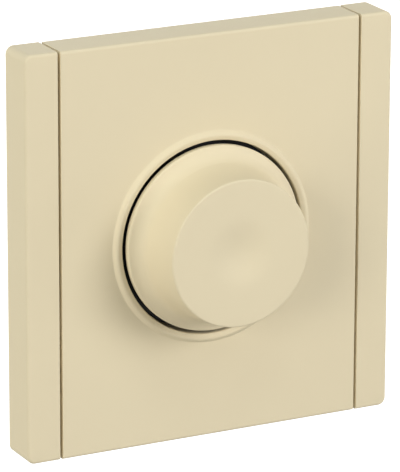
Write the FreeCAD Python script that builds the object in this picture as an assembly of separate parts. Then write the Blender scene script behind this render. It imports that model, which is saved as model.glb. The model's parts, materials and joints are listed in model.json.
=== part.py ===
import FreeCAD
import Part
import math
import os

# Sizes in mm. Front is -Y, up is +Z. The wall plane is y = 0 and the dial axis is x = z = 0.

# Surround and plate
width = 79.6
height = 82.0
depth = 8.6
moulded_wall = 1.8
strip_width = 7.0
seam_gap = 0.45
corner_radius = 1.6
edge_bevel = 0.45
seam_bevel = 0.2
wall_clearance = 0.2
bar_height = 5.1
bar_thickness = 2.1
bar_clearance = 0.6
bar_root = 0.5
bar_passage = 0.3
fit_clearance = 0.1

# Dial
knob_radius = 18.9
knob_front_radius = 14.85
knob_height = 12.6
knob_wall = 1.7
skirt_lift = 0.1
rim_height = 1.0
rim_bevel = 0.5
front_bevel = 0.35
flange_radius = 16.5
flange_rise = 0.9
foot_pull = 2.8
foot_lean = 0.95
neck_flare = 0.2
neck_pull = 3.9
skirt_room = 2.4
dimple_radius = 7.4
dimple_floor = 3.4
dimple_depth = 0.7
dial_gap = 0.7
bead_width = 2.2
bead_height = 0.85
bead_edge = 0.55
push_travel = 1.2
disc_thickness = 0.5
disc_clearance = 0.2
boss_radius = 5.0
boss_clearance = 0.8
rib_thickness = 1.0
rib_root = 0.2

# Strap and screws
strap_side_margin = 4.5
strap_end_margin = 5.5
strap_thickness = 1.2
strap_corner = 3.0
box_screw_spacing = 60.0
box_slot_radius = 1.8
box_slot_length = 7.0
screw_radius = 1.5
screw_head_radius = 2.8
screw_head_height = 1.7
screw_slot_width = 0.8
screw_slot_depth = 0.8
thread_clearance = 0.02

# Housing behind the wall
housing_half_width = 25.0
housing_half_height = 24.0
housing_corner_cut = 9.0
housing_back = 28.0
housing_wall = 1.6
lid_thickness = 1.6
recess_depth = 6.4
recess_half_height = 8.6
catch_x = 9.0
catch_width = 5.0
catch_thickness = 1.2
catch_reach = 6.0
catch_barb = 0.7
catch_window = 2.4
vent_count = 5
vent_pitch = 5.0
vent_width = 1.6
vent_low = 6.0
vent_length = 10.8

# Potentiometer and push switch
bushing_radius = 5.0
nut_flats = 14.0
nut_thickness = 2.4
thread_end = 0.6
well_floor = 1.8
case_half = 8.5
flange_thickness = 1.2
shaft_radius = 3.0
shaft_flat = 1.5
shaft_tail_radius = 1.8
running_clearance = 0.05
clip_thickness = 0.6
clip_radius = 4.0
clip_bite = 0.6
clip_clearance = 0.15
rotor_radius = 6.6
rotor_thickness = 2.5
wiper_room = 1.4
wiper_leaf = 0.3
wiper_half_width = 1.4
wiper_nose = 1.0
wiper_edge = 0.5
step_clearance = 0.1
tail_length = 0.3
tail_clearance = 0.6
shaft_end_gap = 0.2
wafer_thickness = 1.2
case_depth = 6.2
case_wall = 0.9
switch_depth = 6.3
switch_half = 7.8
switch_wall = 1.3
plunger_half = 3.0
plunger_head = 1.0
plunger_clearance = 0.3
bridge_thickness = 0.4
bridge_half_width = 1.2
contact_length = 1.3
contact_half_width = 1.5
contact_side_gap = 0.8
spring_leaf = 0.3
spring_half_width = 1.0
spring_crown = 1.2
spring_foot = 3.5
spring_slant = 0.45
board_thickness = 1.6
board_clearance = 0.4

# Parts on the board
choke_x0 = -15.0
choke_z = 15.0
choke_length = 15.5
choke_core_size = 5.0
choke_winding_thickness = 1.5
film_gap = 1.0
film_length = 12.5
film_height = 11.0
film_width = 7.0
sink_thickness = 1.5
sink_margin = 0.7
sink_corner_margin = 2.74
sink_case_gap = 1.3
triac_margin = 0.3
triac_inset = 0.4
triac_tab_length = 10.2
triac_tab_thickness = 1.3
triac_body_offset = 6.6
triac_body_length = 9.2
triac_body_height = 4.4
triac_leg_pitch = 2.54
triac_leg_width = 0.8
triac_leg_thickness = 0.6
triac_leg_height = 2.2
triac_leg_reach = 2.6
small_parts_x = 7.5
timing_length = 6.5
timing_height = 7.5
timing_width = 3.4
timing_gap = 0.9
diac_length = 4.3
diac_height = 2.2
diac_width = 2.6
diac_gap = 0.2
chip_x0 = -12.0
chip_length = 6.3
chip_height = 0.7
chip_width = 3.2
chip_pitch = 4.8

# Claws
claw_inset = 0.8
claw_pivot_y = 2.6
claw_sheet = 1.4
claw_half_width = 5.0
claw_length = 16.4
claw_tongue_y = 14.2
claw_tongue_half = 3.0
claw_ear_reach = 0.5
tooth_height = 2.9
tooth_length = 3.2
tooth_width = 3.0
tooth_rake = 0.1
claw_screw_offset = 3.6
lug_inner = 6.0
lug_thickness = 1.2
lug_half_width = 2.2
lug_hole = 2.2
lug_reach = 4.6

# Terminals
terminal_pitch = 7.8
terminal_z = -17.2
cage_size = 6.2
cage_wall = 0.8
cage_length = 6.0
block_side_wall = 1.05
block_top_wall = 1.3
block_floor = 1.2
terminal_screw_radius = 1.6
terminal_screw_sink = 0.5
terminal_screw_gap = 0.05

# Places along the dial axis
y_front = -depth
y_strap = -strap_thickness
y_nut = y_strap - nut_thickness
y_well = y_nut - well_floor
y_plate_nut = y_well - nut_thickness
y_bushing = y_plate_nut - thread_end
y_boss = y_bushing - push_travel - boss_clearance
y_bar_back = y_strap - fit_clearance
y_bar_front = y_bar_back - bar_thickness
y_flange = lid_thickness + flange_thickness
y_clip = y_flange + clip_clearance
y_wafer = y_flange + case_depth
y_wiper = y_wafer - running_clearance
y_rotor = y_wafer - wiper_room - rotor_thickness
y_shaft_step = y_wafer - push_travel - step_clearance
y_shaft_end = y_wafer + tail_length
y_switch = y_wafer + wafer_thickness
y_board = y_switch + switch_depth
y_board_back = y_board + board_thickness
y_plunger = y_shaft_end + running_clearance
y_contacts = y_switch + switch_wall
y_head = y_contacts + plunger_clearance
y_bridge = y_head + plunger_head
y_sink = lid_thickness + sink_thickness

# Places across
half_width = width / 2
half_height = height / 2
strip_inner = half_width - strip_width
plate_half_width = strip_inner - seam_gap
well_radius = knob_radius + dial_gap
bar_outer = half_height - moulded_wall - bar_clearance
bar_inner = bar_outer - bar_height
claw_pivot_x = housing_half_width - claw_inset
claw_screw_x = claw_pivot_x - claw_screw_offset
recess_x = housing_half_width - recess_depth
catch_outer = housing_half_height - housing_wall - fit_clearance
catch_inner = catch_outer - catch_thickness
housing_corner = housing_half_width + housing_half_height - housing_corner_cut
sink_low = -(catch_inner - sink_margin)
sink_high = -(case_half + sink_case_gap)
sink_half = housing_corner - housing_wall * math.sqrt(2) + sink_low - sink_corner_margin
triac_z = (sink_low + sink_high) / 2
triac_width = sink_high - sink_low - 2 * triac_margin

AXIS = FreeCAD.Vector(0, 1, 0)


def vec(x, y, z):
    return FreeCAD.Vector(x, y, z)


def box(x0, x1, y0, y1, z0, z1):
    """A block between two corners."""
    return Part.makeBox(x1 - x0, y1 - y0, z1 - z0, vec(x0, y0, z0))


def rod(radius, y0, y1, x=0.0, z=0.0):
    """A cylinder along the dial axis."""
    return Part.makeCylinder(radius, y1 - y0, vec(x, y0, z), AXIS)


def tube(outer, inner, y0, y1, x=0.0, z=0.0):
    """A ring along the dial axis."""
    return rod(outer, y0, y1, x, z).cut(rod(inner, y0 - 1, y1 + 1, x, z))


def prism(points, y0, y1):
    """A polygon of (x, z) points, drawn out from y0 to y1."""
    corners = [vec(x, y0, z) for x, z in points]
    face = Part.Face(Part.makePolygon(corners + corners[:1]))
    return face.extrude(vec(0, y1 - y0, 0))


def sheet_prism(points, z0, z1):
    """A polygon of (x, y) points, drawn out from z0 to z1."""
    corners = [vec(x, y, z0) for x, y in points]
    face = Part.Face(Part.makePolygon(corners + corners[:1]))
    return face.extrude(vec(0, 0, z1 - z0))


def turned(edges):
    """A closed profile of edges in the x, y plane, turned round the dial axis."""
    face = Part.Face(Part.Wire(edges))
    return face.revolve(vec(0, 0, 0), AXIS, 360)


def mirrored(shape):
    """The same piece on the other side of the dial axis."""
    return shape.mirror(vec(0, 0, 0), vec(1, 0, 0))


def front_edges(shape, y):
    """The edges of a shape that lie wholly in one plane across the dial axis."""
    found = []
    for edge in shape.Edges:
        limits = edge.BoundBox
        if abs(limits.YMin - y) < 1e-6 and abs(limits.YMax - y) < 1e-6:
            found.append(edge)
    return found


def housing_outline(inset):
    """The housing's outline as (x, z) points: a rectangle with cut corners and a recess for each claw."""
    x = housing_half_width - inset
    z = housing_half_height - inset
    total = housing_corner - inset * math.sqrt(2)
    inner_x = recess_x - inset
    inner_z = recess_half_height + inset
    quarter = [(inner_x, inner_z), (x, inner_z), (x, total - x), (total - z, z)]
    top = quarter + [(-a, b) for a, b in reversed(quarter)]
    return top + [(a, -b) for a, b in reversed(top)]


def terminal_places():
    """Where the three terminals stand across the housing."""
    return [-terminal_pitch, 0.0, terminal_pitch]


def slotted_screw(tip, x, z):
    """A screw along the dial axis, its head on the strap, with a driver slot."""
    y_top = y_strap - screw_head_height
    screw = rod(screw_head_radius, y_top, y_strap, x, z).fuse(rod(screw_radius, y_strap, tip, x, z))
    half = screw_slot_width / 2
    reach = screw_head_radius + 1
    slot = box(x - reach, x + reach, y_top - 1, y_top + screw_slot_depth, z - half, z + half)
    return screw.cut(slot)


def shaft_bore(y0, y1):
    """The hole for the flatted shaft."""
    radius = shaft_radius + running_clearance
    flat = shaft_flat + running_clearance
    return rod(radius, y0, y1).cut(box(flat, radius + 1, y0 - 1, y1 + 1, -radius, radius))


def make_knob():
    """The dial: sloping flange, flared flank, flat front with a finger dimple, hollow behind, boss and ribs."""
    def at(radius, front):
        return vec(radius, y_front - front, 0)

    rim_side = at(knob_radius, rim_height - rim_bevel)
    rim_top = at(knob_radius - rim_bevel, rim_height)
    foot_height = rim_height + flange_rise
    foot = at(flange_radius, foot_height)
    neck = at(knob_front_radius, knob_height - front_bevel)
    flank = Part.BezierCurve()
    flank.setPoles([
        foot,
        at(flange_radius - foot_lean, foot_height + foot_pull),
        at(knob_front_radius + neck_flare, knob_height - neck_pull),
        neck,
    ])
    inner_neck = knob_front_radius - knob_wall
    skirt_inner = flange_radius - knob_wall
    roof = knob_height - dimple_depth - knob_wall
    path = [
        neck,
        at(knob_front_radius - front_bevel, knob_height),
        at(dimple_radius, knob_height),
        at(dimple_floor, knob_height - dimple_depth),
        at(0, knob_height - dimple_depth),
        at(0, roof),
        at(inner_neck, roof),
        at(inner_neck, skirt_room),
        at(skirt_inner, skirt_room),
        at(skirt_inner, skirt_lift),
        at(knob_radius, skirt_lift),
        rim_side,
        rim_top,
        foot,
    ]
    edges = [Part.makeLine(a, b) for a, b in zip(path, path[1:])]
    edges.append(flank.toShape())
    knob = turned(edges)
    y_roof = y_front - roof
    reach = inner_neck - rib_thickness
    rib = rib_thickness / 2
    y_root = y_roof - rib_root
    cross = box(-reach, reach, y_root, y_boss, -rib, rib)
    cross = cross.fuse(box(-rib, rib, y_root, y_boss, -reach, reach))
    boss = rod(boss_radius, y_root, y_boss)
    return knob.fuse([cross, boss]).removeSplitter().cut(shaft_bore(y_roof, y_boss + 1))


def make_centre_plate():
    """The full height plate with bead and well, hollow behind."""
    plate = box(-plate_half_width, plate_half_width, y_front, -wall_clearance, -half_height, half_height)
    front = front_edges(plate, y_front)
    plate = plate.makeChamfer(seam_bevel, [e for e in front if e.BoundBox.ZLength > e.BoundBox.XLength])
    front = front_edges(plate, y_front)
    plate = plate.makeChamfer(edge_bevel, [e for e in front if e.BoundBox.XLength > e.BoundBox.ZLength])
    inner_x = plate_half_width - moulded_wall
    inner_z = half_height - moulded_wall
    plate = plate.cut(box(-inner_x, inner_x, y_front + moulded_wall, 1, -inner_z, inner_z))
    y_side = y_bar_front - bar_passage
    reach = plate_half_width + 1
    plate = plate.cut(box(-reach, reach, y_side, 1, -inner_z, inner_z))
    plate = plate.fuse(rod(well_radius + moulded_wall, y_front + 1, y_nut))
    slope = bead_width / 3
    outer = well_radius + bead_width
    profile = [
        vec(well_radius, y_front + 1, 0),
        vec(well_radius, y_front - bead_edge, 0),
        vec(outer - slope, y_front - bead_height, 0),
        vec(outer, y_front, 0),
        vec(outer, y_front + 1, 0),
    ]
    bead = turned([Part.makeLine(a, b) for a, b in zip(profile, profile[1:] + profile[:1])])
    plate = plate.fuse(bead)
    plate = plate.cut(rod(well_radius, y_front - 5, y_well))
    return plate.cut(rod(bushing_radius + fit_clearance, y_well - 1, y_nut + 1)).removeSplitter()


def make_insulating_disc():
    """The black fibre disc on the floor of the well, round the nut."""
    disc = rod(well_radius - disc_clearance, y_well - disc_thickness, y_well)
    return disc.cut(rod(nut_flats / math.sqrt(3) + disc_clearance, y_well - 1, y_well + 1))


def make_frame():
    """Left and right strips, hollow behind, joined by a bar at the top and bottom."""
    outer = half_width - corner_radius
    end = half_height - corner_radius
    turn = corner_radius * math.sqrt(0.5)
    points = [
        vec(strip_inner, y_front, -half_height),
        vec(outer, y_front, -half_height),
        vec(half_width, y_front, -end),
        vec(half_width, y_front, end),
        vec(outer, y_front, half_height),
        vec(strip_inner, y_front, half_height),
    ]
    low_mid = vec(outer + turn, y_front, -end - turn)
    high_mid = vec(outer + turn, y_front, end + turn)
    outline = Part.Wire([
        Part.makeLine(points[0], points[1]),
        Part.Arc(points[1], low_mid, points[2]).toShape(),
        Part.makeLine(points[2], points[3]),
        Part.Arc(points[3], high_mid, points[4]).toShape(),
        Part.makeLine(points[4], points[5]),
        Part.makeLine(points[5], points[0]),
    ])
    strip = Part.Face(outline).extrude(vec(0, depth, 0))
    seam = [e for e in front_edges(strip, y_front) if e.BoundBox.XMax < strip_inner + 1e-6]
    strip = strip.makeChamfer(seam_bevel, seam)
    rim = [e for e in front_edges(strip, y_front) if e.BoundBox.XMax > strip_inner + 2 * seam_bevel]
    strip = strip.makeChamfer(edge_bevel, rim)
    inner_wall = strip_inner + moulded_wall
    outer_wall = half_width - moulded_wall
    end_wall = half_height - moulded_wall
    strip = strip.cut(box(inner_wall, outer_wall, y_front + moulded_wall, 1, -end_wall, end_wall))
    strip = strip.cut(box(strip_inner - 1, inner_wall, y_bar_back, 1, -end_wall, end_wall))
    reach = strip_inner + bar_root
    top_bar = box(-reach, reach, y_bar_front, y_bar_back, bar_inner, bar_outer)
    low_bar = box(-reach, reach, y_bar_front, y_bar_back, -bar_outer, -bar_inner)
    return strip.fuse([mirrored(strip), top_bar, low_bar]).removeSplitter()


def make_bushing_nuts():
    """Two hexagon nuts: one holds the potentiometer on the strap, one the plate on the bushing."""
    radius = nut_flats / math.sqrt(3)
    points = [(radius * math.cos(i * math.pi / 3), radius * math.sin(i * math.pi / 3)) for i in range(6)]
    nuts = []
    for y0 in (y_nut, y_plate_nut):
        y1 = y0 + nut_thickness
        nuts.append(prism(points, y0, y1).cut(rod(bushing_radius + thread_clearance, y0 - 1, y1 + 1)))
    return Part.makeCompound(nuts)


def box_slot(along_x, side):
    """One slot for a wall box screw."""
    half = box_slot_length / 2 - box_slot_radius
    r = box_slot_radius
    place = side * box_screw_spacing / 2
    if along_x:
        bar = box(place - half, place + half, y_strap - 1, 1, -r, r)
        ends = [rod(r, y_strap - 1, 1, place - half, 0), rod(r, y_strap - 1, 1, place + half, 0)]
    else:
        bar = box(-r, r, y_strap - 1, 1, place - half, place + half)
        ends = [rod(r, y_strap - 1, 1, 0, place - half), rod(r, y_strap - 1, 1, 0, place + half)]
    return bar.fuse(ends).removeSplitter()


def make_support_strap():
    """The steel strap with its slots, screw holes and the bent lugs that carry the claws."""
    side = half_width - strap_side_margin
    end = half_height - strap_end_margin
    strap = box(-side, side, y_strap, 0, -end, end)
    corners = [e for e in strap.Edges if e.BoundBox.YLength > strap_thickness / 2]
    strap = strap.makeFillet(strap_corner, corners)
    cuts = [rod(bushing_radius + fit_clearance, y_strap - 1, 1)]
    for side in (-1, 1):
        cuts.append(box_slot(True, side))
        cuts.append(box_slot(False, side))
        cuts.append(rod(screw_radius + thread_clearance, y_strap - 1, 1, side * claw_screw_x, 0))
    outer = lug_inner + lug_thickness
    hole = lug_hole / 2
    lugs = []
    for sx in (-1, 1):
        x = sx * claw_pivot_x
        for sz in (-1, 1):
            a, b, c = sz * lug_inner, sz * outer, sz * (outer + lug_reach)
            cuts.append(box(x - lug_half_width, x + lug_half_width, y_strap - 1, 1, min(b, c), max(b, c)))
            lug = box(x - lug_half_width, x + lug_half_width, y_strap, lug_reach, min(a, b), max(a, b))
            seat = box(x - hole, x + hole, claw_pivot_y - hole, claw_pivot_y + hole, -2 * outer, 2 * outer)
            lugs.append(lug.cut(seat))
    return strap.cut(cuts).fuse(lugs).removeSplitter()


def make_claw():
    """The right claw: ears in the lugs, leg, the tongue its screw presses on, and two teeth."""
    z = claw_half_width
    half = claw_sheet / 2
    leg_in = claw_pivot_x - half
    leg_out = claw_pivot_x + half
    y_start = claw_pivot_y - half
    y_end = y_start + claw_length
    ear = lug_inner + lug_thickness + claw_ear_reach
    ears = box(leg_in, leg_out, y_start, y_start + claw_sheet, -ear, ear)
    leg = box(leg_in, leg_out, y_start, y_end, -z, z)
    tongue_in = claw_screw_x - screw_radius + fit_clearance
    tongue = box(tongue_in, leg_in, claw_tongue_y, claw_tongue_y + claw_sheet,
                 -claw_tongue_half, claw_tongue_half)
    tip = (leg_out + tooth_height, y_end - tooth_rake)
    tooth = [(leg_out, y_end - tooth_length), tip, (leg_out, y_end)]
    low_tooth = sheet_prism(tooth, -z, tooth_width - z)
    high_tooth = sheet_prism(tooth, z - tooth_width, z)
    return leg.fuse([ears, tongue, low_tooth, high_tooth]).removeSplitter()


def make_claw_screws():
    """The two screws whose tips press the claws outward."""
    tip = claw_tongue_y - fit_clearance
    return Part.makeCompound([slotted_screw(tip, side * claw_screw_x, 0) for side in (-1, 1)])


def make_housing_lid():
    """The front lid of the housing, with four barbed catches."""
    lid = prism(housing_outline(0), 0, lid_thickness)
    y_end = lid_thickness + catch_reach
    y_root = lid_thickness / 2
    profile = [
        (y_root, catch_inner),
        (y_root, catch_outer),
        (y_end - catch_window, catch_outer),
        (y_end - catch_window, catch_outer + catch_barb),
        (y_end, catch_outer),
        (y_end, catch_inner),
    ]
    catches = []
    for sx in (-1, 1):
        x0 = sx * catch_x - catch_width / 2
        corners = [vec(x0, y, z) for y, z in profile]
        face = Part.Face(Part.makePolygon(corners + corners[:1]))
        catch = face.extrude(vec(catch_width, 0, 0))
        catches.append(catch)
        catches.append(catch.mirror(vec(0, 0, 0), vec(0, 0, 1)))
    lid = lid.fuse(catches).removeSplitter()
    return lid.cut(rod(bushing_radius + fit_clearance, -1, lid_thickness + 1))


def block_limits():
    """Half width, bottom and top of the terminal block."""
    room = cage_size / 2 + fit_clearance / 2
    half = terminal_pitch + room + block_side_wall
    return half, -housing_half_height, terminal_z + room + block_top_wall


def make_housing():
    """The box with vents, windows for the catches, and the notch for the terminal block."""
    shell = prism(housing_outline(0), lid_thickness, housing_back)
    inside = prism(housing_outline(housing_wall), lid_thickness - 1, housing_back - housing_wall)
    half, bottom, top = block_limits()
    gap = fit_clearance / 2
    cuts = [inside]
    cuts.append(box(-half - gap, half + gap, y_board_back - gap, housing_back + 1, bottom - 1, top + gap))
    y1 = lid_thickness + catch_reach + fit_clearance
    y0 = y1 - catch_window - 2 * fit_clearance
    side = catch_width / 2 + fit_clearance
    reach = housing_half_height + 1
    for sx in (-1, 1):
        x = sx * catch_x
        cuts.append(box(x - side, x + side, y0, y1, -reach, reach))
    for i in range(vent_count):
        x = (i - (vent_count - 1) / 2) * vent_pitch
        cuts.append(box(x - vent_width / 2, x + vent_width / 2, housing_back - housing_wall - 1,
                        housing_back + 1, vent_low, vent_low + vent_length))
    return shell.cut(cuts)


def make_terminal_block():
    """The three way block: a chamber for each clamp, open behind, with a screw passage below."""
    half, bottom, top = block_limits()
    block = box(-half, half, y_board_back, housing_back, bottom, top)
    room = cage_size / 2 + fit_clearance / 2
    way = terminal_screw_radius + 2 * fit_clearance
    y0 = y_board_back + block_floor
    y_screw = y0 + fit_clearance + cage_length / 2
    cuts = []
    for x in terminal_places():
        cuts.append(box(x - room, x + room, y0, housing_back + 1, terminal_z - room, terminal_z + room))
        cuts.append(box(x - way, x + way, y_screw - way, y_screw + way, bottom - 1, terminal_z))
    return block.cut(cuts)


def make_terminal_clamps():
    """Three brass cages, open along the wire, with a slot below for the screw."""
    half = cage_size / 2
    hole = half - cage_wall
    slot = terminal_screw_radius + thread_clearance
    y0 = y_board_back + block_floor + fit_clearance
    y1 = y0 + cage_length
    y_slot = y0 + cage_length / 2 - slot
    cages = []
    for x in terminal_places():
        cage = box(x - half, x + half, y0, y1, terminal_z - half, terminal_z + half)
        way = box(x - hole, x + hole, y0 - 1, y1 + 1, terminal_z - hole, terminal_z + hole)
        gap = box(x - slot, x + slot, y_slot, y1 + 1, terminal_z - half - 1, terminal_z)
        cages.append(cage.cut([way, gap]))
    return Part.makeCompound(cages)


def make_terminal_screws():
    """Three headless clamp screws, driven from below."""
    bottom = -housing_half_height + terminal_screw_sink
    tip = terminal_z - cage_size / 2 + cage_wall - terminal_screw_gap
    y = y_board_back + block_floor + fit_clearance + cage_length / 2
    slot = screw_slot_width / 2
    reach = terminal_screw_radius + 1
    screws = []
    for x in terminal_places():
        screw = Part.makeCylinder(terminal_screw_radius, tip - bottom, vec(x, y, bottom))
        screws.append(screw.cut(box(x - reach, x + reach, y - slot, y + slot,
                                    bottom - 1, bottom + screw_slot_depth)))
    return Part.makeCompound(screws)


def square_ring(half, wall, y0, y1):
    """A square tube along the dial axis."""
    inner = half - wall
    return box(-half, half, y0, y1, -half, half).cut(box(-inner, inner, y0 - 1, y1 + 1, -inner, inner))


def make_bushing():
    """The threaded bushing with its square flange behind the lid."""
    flange = box(-case_half, case_half, lid_thickness, y_flange, -case_half, case_half)
    body = rod(bushing_radius, y_bushing, y_flange).fuse(flange).removeSplitter()
    return body.cut(rod(shaft_radius + running_clearance, y_bushing - 1, y_flange + 1))


def make_potentiometer_case():
    """The case round the rotor."""
    return square_ring(case_half, case_wall, y_flange, y_wafer)


def make_wafer():
    """The wafer that carries the resistive track."""
    wafer = box(-case_half, case_half, y_wafer, y_switch, -case_half, case_half)
    return wafer.cut(rod(shaft_tail_radius + tail_clearance, y_wafer - 1, y_switch + 1))


def make_rotor():
    """The rotor that the flatted shaft turns and slides through."""
    y1 = y_rotor + rotor_thickness
    return rod(rotor_radius, y_rotor, y1).cut(shaft_bore(y_rotor - 1, y1 + 1))


def make_wiper():
    """The sprung wiper on the back of the rotor, with a nose on the track."""
    y0 = y_rotor + rotor_thickness
    inner = shaft_radius + wiper_edge
    outer = rotor_radius - wiper_edge
    leaf = box(-wiper_half_width, wiper_half_width, y0, y0 + wiper_leaf, inner, outer)
    half = wiper_nose / 2
    nose = box(-half, half, y0, y_wiper, outer - wiper_edge - wiper_nose, outer - wiper_edge)
    return leaf.fuse(nose).removeSplitter()


def make_shaft():
    """The shaft: a flat for the knob, a groove for its clip, a flat for the rotor and a thin tail."""
    y_end = y_front - (knob_height - dimple_depth - knob_wall) + shaft_end_gap
    shaft = rod(shaft_radius, y_end, y_shaft_step)
    shaft = shaft.fuse(rod(shaft_tail_radius, y_shaft_step, y_shaft_end))
    reach = shaft_radius + 1
    y_flat = y_clip + clip_thickness + running_clearance
    groove = tube(reach, shaft_radius - clip_bite, y_clip - running_clearance, y_flat)
    front_flat = box(shaft_flat, reach, y_end - 1, y_boss + shaft_end_gap, -reach, reach)
    back_flat = box(shaft_flat, reach, y_flat, y_shaft_step, -reach, reach)
    return shaft.cut([groove, front_flat, back_flat])


def make_shaft_clip():
    """The open retaining clip in the shaft's groove."""
    inner = shaft_radius - clip_bite + running_clearance
    y1 = y_clip + clip_thickness
    plate = box(-clip_radius, clip_radius, y_clip, y1, -clip_radius, clip_radius)
    plate = plate.common(rod(1.15 * clip_radius, y_clip, y1))
    return plate.cut([rod(inner, y_clip - 1, y1 + 1), box(-inner, inner, y_clip - 1, y1 + 1, -2 * inner, 0)])


def make_switch_case():
    """The case of the push switch, open towards the board."""
    inner = switch_half - switch_wall
    case = box(-switch_half, switch_half, y_switch, y_board, -switch_half, switch_half)
    case = case.cut(box(-inner, inner, y_contacts, y_board + 1, -inner, inner))
    return case.cut(rod(shaft_tail_radius + running_clearance, y_switch - 1, y_contacts + 1))


def make_plunger():
    """The plunger that the shaft's tail pushes."""
    head = box(-plunger_half, plunger_half, y_head, y_bridge, -plunger_half, plunger_half)
    return rod(shaft_tail_radius, y_plunger, y_head).fuse(head).removeSplitter()


def make_contact_bridge():
    """The moving contact behind the plunger."""
    reach = switch_half - switch_wall - contact_side_gap
    y1 = y_bridge + bridge_thickness
    return box(-reach, reach, y_bridge, y1, -bridge_half_width, bridge_half_width)


def make_fixed_contacts():
    """The two fixed contacts on the board."""
    y0 = y_bridge + bridge_thickness + push_travel + running_clearance
    outer = switch_half - switch_wall - contact_side_gap
    contacts = []
    for side in (-1, 1):
        a, b = side * (outer - contact_length), side * outer
        contacts.append(box(min(a, b), max(a, b), y0, y_board, -contact_half_width, contact_half_width))
    return Part.makeCompound(contacts)


def make_spring():
    """The return spring: a bowed leaf between the board and the contact bridge."""
    y0 = y_bridge + bridge_thickness
    foot = spring_foot
    crown = spring_crown
    inner_foot = foot - spring_slant
    inner_crown = crown - spring_slant / 3
    outer = [(-foot, y_board), (-crown, y0), (crown, y0), (foot, y_board)]
    inner = [
        (inner_foot, y_board),
        (inner_crown, y0 + spring_leaf),
        (-inner_crown, y0 + spring_leaf),
        (-inner_foot, y_board),
    ]
    return sheet_prism(outer + inner, -spring_half_width, spring_half_width)


def make_circuit_board():
    """The board, shaped to the inside of the housing."""
    return prism(housing_outline(housing_wall + board_clearance), y_board, y_board_back)


def choke_block(end_inset, thickness):
    """A block along the choke: the bar thickened on its four sides and shortened at its ends."""
    y1 = y_board - choke_winding_thickness
    half = choke_core_size / 2 + thickness
    return box(choke_x0 + end_inset, choke_x0 + choke_length - end_inset,
               y1 - choke_core_size - thickness, y1 + thickness, choke_z - half, choke_z + half)


def make_choke_core():
    """The ferrite bar of the choke."""
    return choke_block(0, 0)


def make_choke_winding():
    """The winding round the bar."""
    winding = choke_block(1.5 * choke_winding_thickness, choke_winding_thickness)
    return winding.cut(choke_block(0, thread_clearance))


def on_board(x, z, length, part_height, part_width):
    """A block that stands on the front of the board, from its corner x and its middle z."""
    half = part_width / 2
    return box(x, x + length, y_board - part_height, y_board, z - half, z + half)


def make_suppression_capacitor():
    """The boxed film capacitor beside the choke."""
    return on_board(choke_x0 + choke_length + film_gap, choke_z, film_length, film_height, film_width)


def make_timing_capacitor():
    """The small boxed capacitor of the timing circuit."""
    z = sink_high - timing_gap - timing_width / 2
    return on_board(small_parts_x, z, timing_length, timing_height, timing_width)


def make_heat_sink():
    """The aluminium plate behind the lid."""
    return box(-sink_half, sink_half, lid_thickness, y_sink, sink_low, sink_high)


def make_triac():
    """The triac: tab, body and three legs bent to the board."""
    z0, z1 = triac_z - triac_width / 2, triac_z + triac_width / 2
    x0 = triac_inset - sink_half
    x1 = x0 + triac_body_offset
    x2 = x1 + triac_body_length
    x3 = x2 + triac_leg_reach
    tab = box(x0, x0 + triac_tab_length, y_sink, y_sink + triac_tab_thickness, z0, z1)
    body = box(x1, x2, y_sink, y_sink + triac_body_height, z0, z1)
    y0 = y_sink + triac_leg_height
    y1 = y0 + triac_leg_thickness
    half = triac_leg_width / 2
    legs = []
    for i in (-1, 0, 1):
        z = triac_z + triac_leg_pitch * i
        legs.append(box(x2 - triac_leg_thickness, x3, y0, y1, z - half, z + half))
        legs.append(box(x3 - triac_leg_thickness, x3, y0, y_board, z - half, z + half))
    return body.fuse([tab] + legs).removeSplitter()


def make_diac():
    """The trigger diode, a flat package on the board."""
    z = sink_low + diac_gap + diac_width / 2
    return on_board(small_parts_x, z, diac_length, diac_height, diac_width)


def make_resistors():
    """Two chip resistors on the board."""
    chips = []
    for side in (-1, 1):
        z = triac_z + side * chip_pitch / 2
        chips.append(on_board(chip_x0, z, chip_length, chip_height, chip_width))
    return Part.makeCompound(chips)


def main():
    claw = make_claw()
    nodes = {
        "knob": make_knob(),
        "centre_plate": make_centre_plate(),
        "frame": make_frame(),
        "insulating_disc": make_insulating_disc(),
        "bushing_nuts": make_bushing_nuts(),
        "support_strap": make_support_strap(),
        "right_claw": claw,
        "left_claw": mirrored(claw),
        "claw_screws": make_claw_screws(),
        "housing_lid": make_housing_lid(),
        "housing": make_housing(),
        "terminal_block": make_terminal_block(),
        "terminal_clamps": make_terminal_clamps(),
        "terminal_screws": make_terminal_screws(),
        "potentiometer_bushing": make_bushing(),
        "potentiometer_case": make_potentiometer_case(),
        "resistor_wafer": make_wafer(),
        "wiper_rotor": make_rotor(),
        "wiper_contact": make_wiper(),
        "shaft": make_shaft(),
        "shaft_clip": make_shaft_clip(),
        "switch_case": make_switch_case(),
        "switch_plunger": make_plunger(),
        "contact_bridge": make_contact_bridge(),
        "fixed_contacts": make_fixed_contacts(),
        "switch_spring": make_spring(),
        "circuit_board": make_circuit_board(),
        "choke_core": make_choke_core(),
        "choke_winding": make_choke_winding(),
        "suppression_capacitor": make_suppression_capacitor(),
        "timing_capacitor": make_timing_capacitor(),
        "heat_sink": make_heat_sink(),
        "triac": make_triac(),
        "diac": make_diac(),
        "resistors": make_resistors(),
    }
    os.makedirs("parts", exist_ok=True)
    for name, shape in nodes.items():
        shape.exportStep(os.path.join("parts", name + ".step"))


main()
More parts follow.
